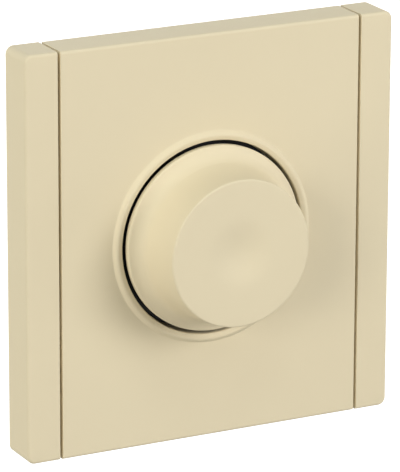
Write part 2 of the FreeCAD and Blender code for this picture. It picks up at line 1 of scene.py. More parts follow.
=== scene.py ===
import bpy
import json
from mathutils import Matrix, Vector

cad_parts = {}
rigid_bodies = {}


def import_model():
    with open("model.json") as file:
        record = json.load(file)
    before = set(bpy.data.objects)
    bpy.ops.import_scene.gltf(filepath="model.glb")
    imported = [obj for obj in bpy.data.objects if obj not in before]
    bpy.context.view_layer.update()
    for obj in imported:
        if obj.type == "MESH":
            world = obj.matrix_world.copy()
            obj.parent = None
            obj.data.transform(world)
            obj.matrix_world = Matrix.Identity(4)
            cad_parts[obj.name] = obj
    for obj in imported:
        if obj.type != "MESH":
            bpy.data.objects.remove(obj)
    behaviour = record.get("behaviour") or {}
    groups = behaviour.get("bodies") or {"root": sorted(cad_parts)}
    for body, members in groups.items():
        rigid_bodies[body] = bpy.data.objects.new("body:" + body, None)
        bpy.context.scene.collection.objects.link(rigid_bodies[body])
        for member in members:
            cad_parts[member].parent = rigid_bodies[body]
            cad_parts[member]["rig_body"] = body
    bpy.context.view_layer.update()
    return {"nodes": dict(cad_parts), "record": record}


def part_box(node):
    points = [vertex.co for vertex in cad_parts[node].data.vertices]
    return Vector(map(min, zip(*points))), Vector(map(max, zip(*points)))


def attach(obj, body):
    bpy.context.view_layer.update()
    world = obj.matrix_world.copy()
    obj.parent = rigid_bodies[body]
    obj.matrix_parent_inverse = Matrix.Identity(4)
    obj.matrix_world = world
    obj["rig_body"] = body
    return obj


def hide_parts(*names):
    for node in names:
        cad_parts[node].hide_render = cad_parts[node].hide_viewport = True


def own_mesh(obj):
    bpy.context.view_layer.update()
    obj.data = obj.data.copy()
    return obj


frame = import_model()

import json
import math

import bmesh
import bpy
import numpy as np

bl_info = {
    "name": "Rotary dimmer switch",
    "version": (1, 0, 0),
    "blender": (4, 5, 0),
    "location": "View3D > Sidebar > Dimmer",
    "description": "Dresses the dimmer's solids with moulded, plated and turned surfaces",
    "category": "Object",
}

MM = 0.001
IMAGE_LONG_SIDE = 472
SENSOR_MM = 36.0
# Front and back of the frame's hidden bars, which the plate's sides stop short of.
BAR_FRONT = -3.4 * MM
BAR_BACK = -1.3 * MM
# Points nearer to each other than this are one point, in metres.
SAME_POINT = 1e-7
# Points along a quarter round at a moulded edge.
ROUND_STEPS = 9
# Angles in degrees: an edge turns by more than the first, a flat face by less than the second.
EDGE_ANGLE = 35
FLAT_ANGLE = 1
# Shading runs smoothly over less than these, on a rounded copy and on threads and wire.
COPY_SMOOTH = 30
THREAD_SMOOTH = 60
# The middle part of a noise's range, and how far roughness falls at its lower end.
NOISE_LOW = 0.3
NOISE_HIGH = 0.7
GLOSS_FALL = 0.03
# The Mix node's sockets for colours go by number, because other sockets of it have the same names.
MIX_FACTOR = 0
MIX_LOW = 6
MIX_HIGH = 7
MIX_RESULT = 2


def linear(code):
    """An sRGB hex colour in linear light."""
    channel = np.array([int(code[i:i + 2], 16) for i in (1, 3, 5)]) / 255
    bright = ((channel + 0.055) / 1.055) ** 2.4
    return tuple(np.where(channel > 0.04045, bright, channel / 12.92))


def colour(label, words, code):
    """A colour that a user may change, written as sRGB hex."""
    return bpy.props.FloatVectorProperty(
        name=label, description=words, subtype="COLOR", size=3, min=0, max=1, default=linear(code))


def length(label, words, millimetres):
    """A length that a user may change, written in millimetres."""
    return bpy.props.FloatProperty(
        name=label, description=words, default=millimetres * MM, unit="LENGTH", precision=5)


class DimmerColours(bpy.types.PropertyGroup):
    """Base colours of the materials."""
    ivory: colour("Ivory", "Knob, centre plate and frame", "#DFD2B3")
    housing: colour("Housing", "Moulded box, its lid and the plunger", "#C9C8C2")
    # Painted shade: this black is set dark so that the disc in the well makes the gap round the knob read
    # as deep shade; on the terminal block, rotor, switch case and small parts it is their black moulding.
    black: colour("Black moulding", "Disc, terminal block, rotor, switch case and small parts", "#1C1C1D")
    zinc: colour("Zinc plate", "Strap, claws, screws, nuts, clip, spring and case", "#B2B5B8")
    brass: colour("Brass", "Clamps and contacts", "#D5B26A")
    alloy: colour("Light alloy", "Bushing, shaft and heat sink", "#D2D4D6")
    laminate: colour("Laminate", "Board and resistor wafer", "#7C9A57")
    copper: colour("Copper wire", "Lacquered winding", "#B0602F")
    ferrite: colour("Ferrite", "Choke bar", "#4A4A4C")
    film_box: colour("Capacitor box", "Boxed capacitors", "#D8B24A")


class DimmerSizes(bpy.types.PropertyGroup):
    """Sizes of the rounded forms that the solids only bevel."""
    edge_round: length("Edge round", "Rounding of the frame's and plate's front edges", 0.6)
    seam_round: length("Seam round", "Rounding along the two seams", 0.06)
    seam_ease: length("Seam ease", "How far the moulded edges keep back from a seam on each side", 0.08)
    corner_round: length("Corner round", "Rounding of the frame's outer corners", 1.6)
    wall: length("Moulded wall", "Wall of the plate and the frame", 1.8)
    knob_wall: length("Knob wall", "Wall of the knob", 1.7)
    bead_height: length("Bead height", "Height of the bead's crest round the knob", 0.85)
    bead_edge: length("Bead edge", "Height of the bead at the edge of the well", 0.55)
    bead_width: length("Bead width", "Width of the bead round the knob", 1.9)
    well_radius: length("Well radius", "Radius of the well that the knob stands in", 19.6)
    rim_height: length("Rim height", "Height of the knob's rim in front of the plate", 1.3)
    rim_round: length("Rim round", "Rounding of the knob's rim", 0.45)
    rim_ease: length("Rim ease", "How far the moulded rim keeps inside the solid's", 0.1)
    foot_round: length("Foot round", "Hollow between the knob's flange and flank", 3.6)
    front_radius: length("Front radius", "Radius of the knob's flat front", 14.85)
    lip_round: length("Lip round", "Rounding of the knob's front edge", 0.4)
    dimple_depth: length("Dimple depth", "Depth of the finger dimple", 0.8)
    dimple_radius: length("Dimple radius", "Radius of the finger dimple", 7.6)
    metal_edge: length("Metal edge", "Rounding of the stamped metal's edges", 0.15)
    plastic_edge: length("Plastic edge", "Rounding of the housing's edges", 0.3)
    screw_pitch: length("Screw pitch", "Thread pitch of the claw screws", 0.5)
    bushing_pitch: length("Bushing pitch", "Thread pitch of the bushing", 0.75)
    wire: length("Winding wire", "Thickness of the choke's wire", 0.55)


def sizes():
    """The scene's sizes."""
    return bpy.context.scene.dimmer_sizes


def colours():
    """The scene's colours."""
    return bpy.context.scene.dimmer_colours


# Surfaces


def grid_faces(rows, columns, rows_closed, columns_closed):
    """Quads between neighbouring points of a grid. A closed direction joins its last line to its first."""
    i, j = np.meshgrid(np.arange(rows - (not rows_closed)), np.arange(columns - (not columns_closed)),
                       indexing="ij")
    right, down = (j + 1) % columns, (i + 1) % rows
    corners = [i * columns + j, i * columns + right, down * columns + right, down * columns + j]
    return np.stack(corners, -1).reshape(-1, 4)


def surface(points, rows_closed=False, columns_closed=True):
    """A grid of points, rows by columns by 3, as its vertices and faces."""
    rows, columns = points.shape[:2]
    return points.reshape(-1, 3), grid_faces(rows, columns, rows_closed, columns_closed)


def arc(start, end, count):
    """Angles from start to end in degrees, as cosines and sines."""
    angle = np.radians(np.linspace(start, end, count))
    return np.cos(angle), np.sin(angle)


def rounded_path(corners, steps=6):
    """A path through (a, b, radius) corners, each one an arc of that radius tangent to both sides."""
    points = np.array([c[:2] for c in corners], float)
    path = [points[:1]]
    for k in range(1, len(points) - 1):
        radius = corners[k][2]
        here = points[k]
        back = (points[k - 1] - here) / np.linalg.norm(points[k - 1] - here)
        ahead = (points[k + 1] - here) / np.linalg.norm(points[k + 1] - here)
        half = math.acos(np.clip(back @ ahead, -1, 1)) / 2
        centre = here + (back + ahead) / np.linalg.norm(back + ahead) * radius / math.sin(half)
        first = here + back * radius / math.tan(half) - centre
        last = here + ahead * radius / math.tan(half) - centre
        turn = math.pi - 2 * half
        t = np.linspace(0, 1, steps + 1)[:, None]
        path.append(centre + (np.sin((1 - t) * turn) * first + np.sin(t * turn) * last) / math.sin(turn))
    path.append(points[-1:])
    return np.concatenate(path)


def bezier(poles, steps):
    """A cubic curve through its first and last poles, pulled towards the two between."""
    t = np.linspace(0, 1, steps + 1)[:, None]
    a, b, c, d = np.array(poles, float)
    return (1 - t) ** 3 * a + 3 * t * (1 - t) ** 2 * b + 3 * t ** 2 * (1 - t) * c + t ** 3 * d


def turned(profile, steps):
    """A profile of (radius, y) points carried round the dial axis."""
    angle = np.linspace(0, 2 * np.pi, steps, endpoint=False)
    radius = profile[:, :1]
    x = radius * np.cos(angle)
    z = radius * np.sin(angle)
    return np.stack([x, np.broadcast_to(profile[:, 1:], x.shape), z], -1)


def rounded_block(low, high, radius, steps=3):
    """A closed block with rounded edges: a sphere's grid, its eighths moved to the block's corners."""
    quarter = np.linspace(0, np.pi / 2, steps + 1)
    around = np.concatenate([quarter + k * np.pi / 2 for k in range(4)])
    side_x = np.repeat([1, -1, -1, 1], steps + 1)
    side_z = np.repeat([1, 1, -1, -1], steps + 1)
    tilt = np.concatenate([quarter - np.pi / 2, quarter])[:, None]
    side_y = np.repeat([-1, 1], steps + 1)[:, None]
    middle, half = (np.array(low) + high) / 2, (np.array(high) - low) / 2 - radius
    shape = np.broadcast_shapes(tilt.shape, around.shape)
    x = middle[0] + side_x * half[0] + radius * np.cos(tilt) * np.cos(around)
    y = np.broadcast_to(middle[1] + side_y * half[1] + radius * np.sin(tilt), shape)
    z = middle[2] + side_z * half[2] + radius * np.cos(tilt) * np.sin(around)
    points = np.stack([x, y, z], -1)
    caps = points[[0, -1]]
    caps[:, :, [0, 2]] = middle[[0, 2]]
    return surface(np.concatenate([caps[:1], points, caps[1:]]))


def thread(radius, depth, pitch, y_start, y_end, centre, pitch_steps=10, round_steps=40):
    """A closed screw thread: the radius falls and rises once a pitch, and the wave climbs as it turns."""
    y = np.arange(y_start, y_end, pitch / pitch_steps)[:, None]
    angle = np.linspace(0, 2 * np.pi, round_steps, endpoint=False)
    wave = (y / pitch - angle / (2 * np.pi)) % 1
    reach = radius - depth * abs(2 * wave - 1)
    reach[[0, -1]] = 0
    x = centre[0] + reach * np.cos(angle)
    z = centre[1] + reach * np.sin(angle)
    return surface(np.stack([x, np.broadcast_to(y, x.shape), z], -1))


def wound(low, high, wire, corner, turn_steps=10, corner_steps=7):
    """Turns of wire on a square former: a rounded square along x, drawn in where two wires meet."""
    turns = round((high[0] - low[0]) / wire)
    share = np.linspace(0, turns, turns * turn_steps + 1)[:, None]
    inset = wire / 2 * (1 - np.sqrt(1 - (2 * (share % 1) - 1) ** 2))
    quarter = np.linspace(0, np.pi / 2, corner_steps)
    angle = np.concatenate([quarter + k * np.pi / 2 for k in range(4)])
    side_y = np.repeat([1, -1, -1, 1], corner_steps)
    side_z = np.repeat([1, 1, -1, -1], corner_steps)
    middle, half = (np.array(low) + high) / 2, (np.array(high) - low) / 2
    y = side_y * (half[1] - corner) + (corner - inset) * np.cos(angle)
    z = side_z * (half[2] - corner) + (corner - inset) * np.sin(angle)
    y[[0, -1]] = 0
    z[[0, -1]] = 0
    x = np.broadcast_to(low[0] + share / turns * (high[0] - low[0]), y.shape)
    return surface(np.stack([x, middle[1] + y, middle[2] + z], -1))


def mirrored(part):
    """The same surface on the other side of the dial axis."""
    vertices, faces = part
    return vertices * np.array([-1, 1, 1]), faces[:, ::-1]


def make_piece(name, parts, node, material, smooth_angle=EDGE_ANGLE, whole=True):
    """Joins closed surfaces to one mesh that rides on a node's body, and stands for it if it is whole."""
    starts = np.cumsum([0] + [len(v) for v, f in parts[:-1]])
    vertices = np.concatenate([v for v, f in parts])
    faces = np.concatenate([f + s for (v, f), s in zip(parts, starts)])
    mesh = bpy.data.meshes.new(name)
    mesh.from_pydata(vertices.tolist(), [], faces.tolist())
    edit = bmesh.new()
    edit.from_mesh(mesh)
    bmesh.ops.remove_doubles(edit, verts=edit.verts, dist=SAME_POINT)
    bmesh.ops.dissolve_degenerate(edit, edges=edit.edges, dist=SAME_POINT / 10)
    bmesh.ops.recalc_face_normals(edit, faces=edit.faces)
    edit.to_mesh(mesh)
    edit.free()
    return finish_piece(name, mesh, node, material, smooth_angle, whole)


def finish_piece(name, mesh, node, material, smooth_angle, whole=True):
    """Shades a mesh, links it, and ties it to its node's body and material slot."""
    mesh.shade_smooth()
    mesh.set_sharp_from_angle(angle=math.radians(smooth_angle))
    mesh.materials.clear()
    mesh.materials.append(material)
    piece = bpy.data.objects.new(name, mesh)
    bpy.context.scene.collection.objects.link(piece)
    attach(piece, frame["nodes"][node]["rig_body"])
    if whole:
        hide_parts(node)
    return piece


def edged_copy(node, edge, material, segments=3, shanks=(), shank_radius=0.0, thread_depth=0.0):
    """A copy of a node's mesh with its real edges rounded. Shanks shrink to make room for a thread."""
    tolerance = 0.02 * MM
    mesh = frame["nodes"][node].data.copy()
    mesh.name = node + "_edged"
    edit = bmesh.new()
    edit.from_mesh(mesh)
    bmesh.ops.remove_doubles(edit, verts=edit.verts, dist=SAME_POINT)
    bmesh.ops.dissolve_limit(edit, angle_limit=math.radians(FLAT_ANGLE), verts=edit.verts, edges=edit.edges)
    edit.to_mesh(mesh)
    edit.free()
    if "custom_normal" in mesh.attributes:
        mesh.attributes.remove(mesh.attributes["custom_normal"])
    places = np.empty(len(mesh.vertices) * 3)
    mesh.vertices.foreach_get("co", places)
    places = places.reshape(-1, 3)
    for x, z in shanks:
        away = places[:, [0, 2]] - (x, z)
        shank = abs(np.linalg.norm(away, axis=1) - shank_radius) < tolerance
        places[:, [0, 2]] -= away * np.where(shank, thread_depth / shank_radius, 0)[:, None]
    mesh.vertices.foreach_set("co", places.ravel())
    piece = finish_piece(node + "_edged", mesh, node, material, COPY_SMOOTH)
    bevel = piece.modifiers.new("Edges", "BEVEL")
    bevel.width = edge
    bevel.segments = segments
    bevel.limit_method = "ANGLE"
    bevel.angle_limit = math.radians(EDGE_ANGLE)
    bevel.harden_normals = True
    return piece


# Materials


def add_node(tree, kind, inputs=None, **settings):
    """Adds a shader node: settings are its attributes, inputs are constants or sockets to link."""
    node = tree.nodes.new("ShaderNode" + kind)
    for name, value in settings.items():
        setattr(node, name, value)
    for name, value in (inputs or {}).items():
        if isinstance(value, bpy.types.NodeSocket):
            tree.links.new(value, node.inputs[name])
        else:
            node.inputs[name].default_value = value
    return node


def new_material(name):
    """An empty node material with its tree and the sockets of Object coordinates."""
    material = bpy.data.materials.new(name)
    material.use_nodes = True
    tree = material.node_tree
    tree.nodes.clear()
    place = add_node(tree, "TexCoord").outputs["Object"]
    return material, tree, place


def per_metre(millimetres):
    """A noise scale whose cells are about so many millimetres across."""
    return 1 / (millimetres * MM)


def mix_colour(tree, factor, low, high):
    """A colour between low and high, as far along as the factor says."""
    inputs = {MIX_FACTOR: factor, MIX_LOW: (*low, 1), MIX_HIGH: (*high, 1)}
    return add_node(tree, "Mix", inputs, data_type="RGBA").outputs[MIX_RESULT]


def spread(base, share):
    """A colour a little darker and a little lighter than base."""
    return tuple(c * (1 - share) for c in base), tuple(min(1.0, c * (1 + share)) for c in base)


def uneven_gloss(tree, noise, rough, rise):
    """Roughness that follows a noise, from a little under rough to so much above it."""
    limits = {"From Min": NOISE_LOW, "From Max": NOISE_HIGH,
              "To Min": rough - GLOSS_FALL, "To Max": rough + rise}
    return add_node(tree, "MapRange", {"Value": noise, **limits}).outputs["Result"]


def finish_material(tree, sockets, bump, depth):
    """The surface shader with its sockets, and a bump of so many millimetres."""
    relief = add_node(tree, "Bump", {"Height": bump, "Distance": depth * MM, "Strength": 1.0})
    shader = add_node(tree, "BsdfPrincipled", {**sockets, "Normal": relief.outputs["Normal"]})
    add_node(tree, "OutputMaterial", {"Surface": shader.outputs["BSDF"]})


def moulded(name, base, grain, depth, rough, cloud=30.0, share=0.015, specular=0.5):
    """A moulded plastic: fine spark-eroded grain from the tool, and a faint cloudiness in the pigment."""
    material, tree, place = new_material(name)
    fine = add_node(tree, "TexNoise", {"Vector": place, "Scale": per_metre(grain), "Detail": 3.0})
    wide = add_node(tree, "TexNoise", {"Vector": place, "Scale": per_metre(cloud), "Detail": 2.0})
    tint = mix_colour(tree, wide.outputs["Fac"], *spread(base, share))
    gloss = uneven_gloss(tree, fine.outputs["Fac"], rough, rise=0.05)
    sockets = {"Base Color": tint, "Roughness": gloss, "IOR": 1.53, "Specular IOR Level": specular}
    finish_material(tree, sockets, fine.outputs["Fac"], depth)
    return material


def ivory_abs():
    """ABS, injection moulded against a fine matt tool: satin, even, with a soft highlight."""
    return moulded("ivory ABS moulded", colours().ivory, grain=0.35, depth=0.004, rough=0.58, specular=0.2)


def housing_polyamide():
    """Filled polyamide, moulded: duller and greyer than the covers, with a coarser grain."""
    return moulded("grey polyamide moulded", colours().housing, grain=0.6, depth=0.012, rough=0.55,
                   share=0.03)


def black_polyester_and_painted_shade():
    """Black polyester moulding: dark, slightly glossy. On the disc in the well it is painted shade that
    darkens the gap round the knob.
    """
    return moulded("black polyester moulded", colours().black, grain=0.5, depth=0.008, rough=0.45,
                   share=0.1, specular=0.3)


def capacitor_box():
    """Moulded capacitor box: smooth and glossy."""
    return moulded("capacitor box moulded", colours().film_box, grain=0.8, depth=0.002, rough=0.3)


def metal(name, base, grain, stretch, depth, rough, mottle=4.0, share=0.05):
    """A metal: streaks of rolling, drawing or turning, and a faintly mottled plate or skin."""
    material, tree, place = new_material(name)
    drawn = add_node(tree, "Mapping", {"Vector": place, "Scale": stretch})
    streak = add_node(tree, "TexNoise", {"Vector": drawn.outputs["Vector"], "Scale": per_metre(grain),
                                         "Detail": 4.0})
    patch = add_node(tree, "TexNoise", {"Vector": place, "Scale": per_metre(mottle), "Detail": 3.0})
    tint = mix_colour(tree, patch.outputs["Fac"], *spread(base, share))
    gloss = uneven_gloss(tree, patch.outputs["Fac"], rough, rise=0.04)
    sockets = {"Base Color": tint, "Roughness": gloss, "Metallic": 1.0}
    finish_material(tree, sockets, streak.outputs["Fac"], depth)
    return material


def zinc_steel():
    """Zinc plated sheet steel: bright, faintly mottled, with upright rolling streaks."""
    return metal("steel zinc plated", colours().zinc, grain=0.25, stretch=(1.0, 1.0, 0.06),
                 depth=0.004, rough=0.34)


def clamp_brass():
    """Drawn brass: warm, smooth."""
    return metal("brass drawn", colours().brass, grain=0.2, stretch=(1.0, 0.1, 1.0),
                 depth=0.003, rough=0.28)


def light_alloy():
    """Turned light alloy: fine lines across the axis."""
    return metal("light alloy turned", colours().alloy, grain=0.2, stretch=(0.05, 1.0, 0.05),
                 depth=0.003, rough=0.3)


def lacquered_copper():
    """Enamelled copper wire: coppery and glossy."""
    return metal("copper wire lacquered", colours().copper, grain=0.3, stretch=(0.3, 1.0, 1.0),
                 depth=0.004, rough=0.26)


def board_laminate():
    """Glass laminate with a green mask: the weave shows faintly through it."""
    material, tree, place = new_material("glass laminate masked")
    weave = add_node(tree, "TexChecker", {"Vector": place, "Scale": per_metre(millimetres=0.8),
                                          "Color1": (1, 1, 1, 1), "Color2": (0, 0, 0, 1)})
    tint = mix_colour(tree, weave.outputs["Fac"], *spread(colours().laminate, share=0.05))
    sockets = {"Base Color": tint, "Roughness": 0.35, "IOR": 1.55}
    finish_material(tree, sockets, weave.outputs["Fac"], depth=0.01)
    return material


def sintered_ferrite():
    """Ferrite, sintered: dark grey, matt, granular."""
    return moulded("ferrite sintered", colours().ferrite, grain=0.3, depth=0.02, rough=0.7, share=0.12)


MATERIALS = {
    "ivory_plastic": ivory_abs,
    "housing_plastic": housing_polyamide,
    "black_plastic": black_polyester_and_painted_shade,
    "capacitor_plastic": capacitor_box,
    "zinc_steel": zinc_steel,
    "brass": clamp_brass,
    "die_cast": light_alloy,
    "aluminium": light_alloy,
    "copper_wire": lacquered_copper,
    "laminate": board_laminate,
    "ferrite": sintered_ferrite,
}
made_materials = {}


def slot_of(node):
    """The record's material slot of a node."""
    return next(row["material_slot"] for row in frame["record"]["subparts"] if row["node"] == node)


def material_for(node):
    """The material of a node's slot, made once."""
    maker = MATERIALS[slot_of(node)]
    if maker not in made_materials:
        made_materials[maker] = maker()
    return made_materials[maker]


# Pieces


def front_plane():
    """Where the plate's flat front lies along y."""
    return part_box("frame")[0].y


def drop(distance, radius):
    """How far a rounded edge falls away at a distance from the border: a quarter circle."""
    inward = np.clip(1 - distance / radius, 0, 1)
    return radius * (1 - np.sqrt(1 - inward ** 2))


class DIMMER_OT_knob(bpy.types.Operator):
    """Turns the knob: sloping flange, flared flank, rounded lip, flat front and a soft finger dimple"""
    bl_idname = "dimmer.knob"
    bl_label = "Knob"

    # Points round the axis, and along the flank, the lip, the flat front and the dimple.
    STEPS = 256
    FLANK_STEPS = 48
    LIP_STEPS = 10
    FLAT_STEPS = 5
    BOWL_STEPS = 28
    # Heights in front of the plate: the hollow's roof, and the ledge behind the flange.
    ROOF = 10.2 * MM
    LEDGE = 2.4 * MM
    # The bore's radius and its flat, the boss's radius, and the boss's distance from the bushing.
    BORE = 3.05 * MM
    BORE_FLAT = 1.55 * MM
    BOSS = 5.0 * MM
    BOSS_GAP = 2.0 * MM
    # The ribs' thickness and rounding, and how far they run into the roof and into the boss.
    RIB = 1.0 * MM
    RIB_EDGE = 0.15 * MM
    RIB_ROOT = 0.2 * MM
    RIB_OVERLAP = 0.3 * MM
    # Rounding inside the knob, from the bore's bottom to the skirt's outer foot.
    BORE_CORNER = 0.05 * MM
    THIN_EDGE = 0.2 * MM
    BOSS_FOOT = 0.4 * MM
    ROOF_CORNER = 0.8 * MM
    LEDGE_CORNER = 0.6 * MM
    SKIRT_CORNER = 0.4 * MM
    SKIRT_EDGE = 0.1 * MM
    # Allowance for telling the bore's points from the rest.
    ALLOWANCE = 0.001 * MM
    # The flange's inner end, and the flank's curve from there up to the neck, as (radius, height) in mm.
    FOOT = (16.5, 1.95)
    FLANK = ((15.95, 3.6), (15.32, 5.5), (15.05, 8.6), (14.85, 12.2))

    def boss_end(self):
        """Where the boss stops, short of the bushing by the push and some play."""
        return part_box("potentiometer_bushing")[0].y - self.BOSS_GAP

    def profile(self):
        """Radius and height in front of the plate, from the bore round the skirt to the dimple's centre."""
        size = sizes()
        low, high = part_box("knob")
        rim = high.x - size.rim_ease
        top = front_plane() - low.y
        lift = front_plane() - high.y
        boss_end = front_plane() - self.boss_end()
        neck = size.front_radius
        foot, height = np.array(self.FOOT) * MM
        skirt = foot - size.knob_wall
        inside = rounded_path([
            (0, self.ROOF, 0),
            (self.BORE, self.ROOF, self.BORE_CORNER),
            (self.BORE, boss_end, self.THIN_EDGE),
            (self.BOSS, boss_end, self.THIN_EDGE),
            (self.BOSS, self.ROOF, self.BOSS_FOOT),
            (neck - size.knob_wall, self.ROOF, self.ROOF_CORNER),
            (neck - size.knob_wall, self.LEDGE, self.LEDGE_CORNER),
            (skirt, self.LEDGE, self.SKIRT_CORNER),
            (skirt, lift, self.THIN_EDGE),
            (rim, lift, self.SKIRT_EDGE),
            (rim, size.rim_height, size.rim_round),
            (foot, height, size.foot_round),
            (self.FLANK[0][0] * MM, self.FLANK[0][1] * MM, 0),
        ])
        flank = bezier(np.array(self.FLANK) * MM, self.FLANK_STEPS)
        c, s = arc(0, 90, self.LIP_STEPS)
        lip = np.stack([neck - size.lip_round * (1 - c), top - size.lip_round * (1 - s)], -1)
        radius = np.linspace(neck - size.lip_round, size.dimple_radius, self.FLAT_STEPS)[1:-1]
        flat = np.stack([radius, np.full_like(radius, top)], -1)
        radius = np.linspace(size.dimple_radius, 0, self.BOWL_STEPS)
        fall = size.dimple_depth * np.cos(radius / size.dimple_radius * np.pi / 2) ** 2
        bowl = np.stack([radius, top - fall], -1)
        return np.concatenate([inside, flank[1:-1], lip, flat, bowl])

    def execute(self, context):
        profile = self.profile()
        radius, height = profile.T
        bore = (radius < self.BORE + self.ALLOWANCE) & (height < self.ROOF + self.ALLOWANCE)
        profile[:, 1] = front_plane() - profile[:, 1]
        points = turned(profile, self.STEPS)
        points[bore, :, 0] = np.minimum(points[bore, :, 0], self.BORE_FLAT)
        parts = [surface(points)]
        y_low = front_plane() - self.ROOF - self.RIB_ROOT
        y_high = self.boss_end()
        inner = self.BOSS - self.RIB_OVERLAP
        outer = sizes().front_radius - sizes().knob_wall - self.RIB
        half = self.RIB / 2
        for side in (-1, 1):
            a, b = sorted((side * inner, side * outer))
            parts.append(rounded_block((a, y_low, -half), (b, y_high, half), self.RIB_EDGE))
            parts.append(rounded_block((-half, y_low, a), (half, y_high, b), self.RIB_EDGE))
        make_piece("knob_turned", parts, "knob", material_for("knob"))
        return {"FINISHED"}


class DIMMER_OT_centre_plate(bpy.types.Operator):
    """Shapes the centre plate: rounded edges, the bead, and the well behind the knob"""
    bl_idname = "dimmer.centre_plate"
    bl_label = "Centre plate"

    # Points along a side, across the flat, and along each rounded corner of the bead and of the well.
    SIDE_STEPS = 96
    FLAT_STEPS = 6
    BEAD_STEPS = 10
    WELL_STEPS = 4
    # Radius of the hole for the bushing, and height of the nut behind the well.
    HOLE = 5.1 * MM
    NUT = 2.4 * MM
    # Play between the side walls and the frame's bars.
    BAR_PASSAGE = 0.3 * MM
    # Half the width of the step where a side wall meets an end wall.
    STEP = 0.001 * MM
    # Where the flat front starts, as a share of the edge's rounding.
    FLAT_START = 1.2
    # The bead: the flat round it, its outer slope, and its rounding at the foot, the crest and the well.
    BEAD_MARGIN = 1.0 * MM
    BEAD_SLOPE = 0.75 * MM
    BEAD_FOOT = 0.4 * MM
    BEAD_CREST = 0.7 * MM
    WELL_LIP = 0.3 * MM
    # Rounding of the well, inside and behind, and the flat ceiling round it.
    WELL_CORNER = 0.3 * MM
    HOLE_EDGE = 0.15 * MM
    WELL_BACK = 0.4 * MM
    CEILING_CORNER = 0.5 * MM
    CEILING_MARGIN = 1.5 * MM

    def border(self, half_x, half_z, notch):
        """The plate's outline, one side after the other, with points crowded towards the corners."""
        t = np.sin(np.linspace(-np.pi / 2, np.pi / 2, self.SIDE_STEPS, endpoint=False))
        steps = np.array([[-notch], [notch]]) + (-self.STEP, self.STEP)
        side = np.sort(np.concatenate([t, steps.ravel() / half_z]))
        one = np.ones_like
        x = np.concatenate([one(side), -t, -one(side), t]) * half_x
        z = np.concatenate([side, one(t), -side, -one(t)]) * half_z
        return x, z

    def bead(self):
        """Radius and height of the bead, from the flat over its outer slope and crest to the well."""
        size = sizes()
        outer = size.well_radius + size.bead_width
        return rounded_path([
            (outer + self.BEAD_MARGIN, 0, 0),
            (outer, 0, self.BEAD_FOOT),
            (outer - self.BEAD_SLOPE, size.bead_height, self.BEAD_CREST),
            (size.well_radius, size.bead_edge, self.WELL_LIP),
            (size.well_radius, -self.BEAD_MARGIN, 0),
        ], self.BEAD_STEPS)

    def execute(self, context):
        size = sizes()
        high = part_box("centre_plate")[1]
        half_x, half_z = high.x - size.seam_ease, high.z
        y_front = front_plane()
        y_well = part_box("insulating_disc")[1].y
        y_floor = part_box("support_strap")[0].y - self.NUT
        y_side = BAR_FRONT - self.BAR_PASSAGE
        well = size.well_radius
        y_ceiling = y_front + size.wall
        inner_z = half_z - size.wall
        x, z = self.border(half_x, half_z, inner_z)
        angle = np.arctan2(z, x)
        rows = []

        def nested(inset_x, inset_z):
            """The outline drawn in from the sides and from the ends."""
            return (np.clip(x, inset_x - half_x, half_x - inset_x),
                    np.clip(z, inset_z - half_z, half_z - inset_z))

        def add(px, y, pz):
            """One more row of the grid."""
            rows.append(np.stack([px, np.broadcast_to(y, px.shape), pz], -1))

        def ring(radius, y):
            """A round row, in step with the outline."""
            add(radius * np.cos(angle), y, radius * np.sin(angle))

        for share in 1 - arc(0, 90, ROUND_STEPS)[0]:
            px, pz = nested(size.seam_round * share, size.edge_round * share)
            y = y_front + drop(half_x - abs(px), size.seam_round) + drop(half_z - abs(pz), size.edge_round)
            add(px, y, pz)
        bead = self.bead()
        start = size.edge_round * self.FLAT_START
        px, pz = nested(start, start)
        radius = bead[0, 0]
        for t in np.linspace(0, 1, self.FLAT_STEPS)[:-1]:
            add(px + t * (radius * np.cos(angle) - px), y_front, pz + t * (radius * np.sin(angle) - pz))
        for radius, height in bead[:-1]:
            ring(radius, y_front - height)
        for radius, y in rounded_path([
            (well, y_front + self.BEAD_MARGIN, 0),
            (well, y_well, self.WELL_CORNER),
            (self.HOLE, y_well, self.HOLE_EDGE),
            (self.HOLE, y_floor, self.HOLE_EDGE),
            (well + size.wall, y_floor, self.WELL_BACK),
            (well + size.wall, y_ceiling, self.CEILING_CORNER),
            (well + size.wall + self.CEILING_MARGIN, y_ceiling, 0),
        ], self.WELL_STEPS):
            ring(radius, y)
        ix, iz = nested(size.wall, size.wall)
        add(ix, y_ceiling, iz)
        on_side = (abs(x) > half_x - SAME_POINT) & (abs(z) < inner_z)
        y_back = np.where(on_side, y_side, high.y)
        add(ix, y_back, iz)
        add(x, y_back, z)
        make_piece("centre_plate_moulded", [surface(np.array(rows), rows_closed=True)],
                   "centre_plate", material_for("centre_plate"))
        return {"FINISHED"}


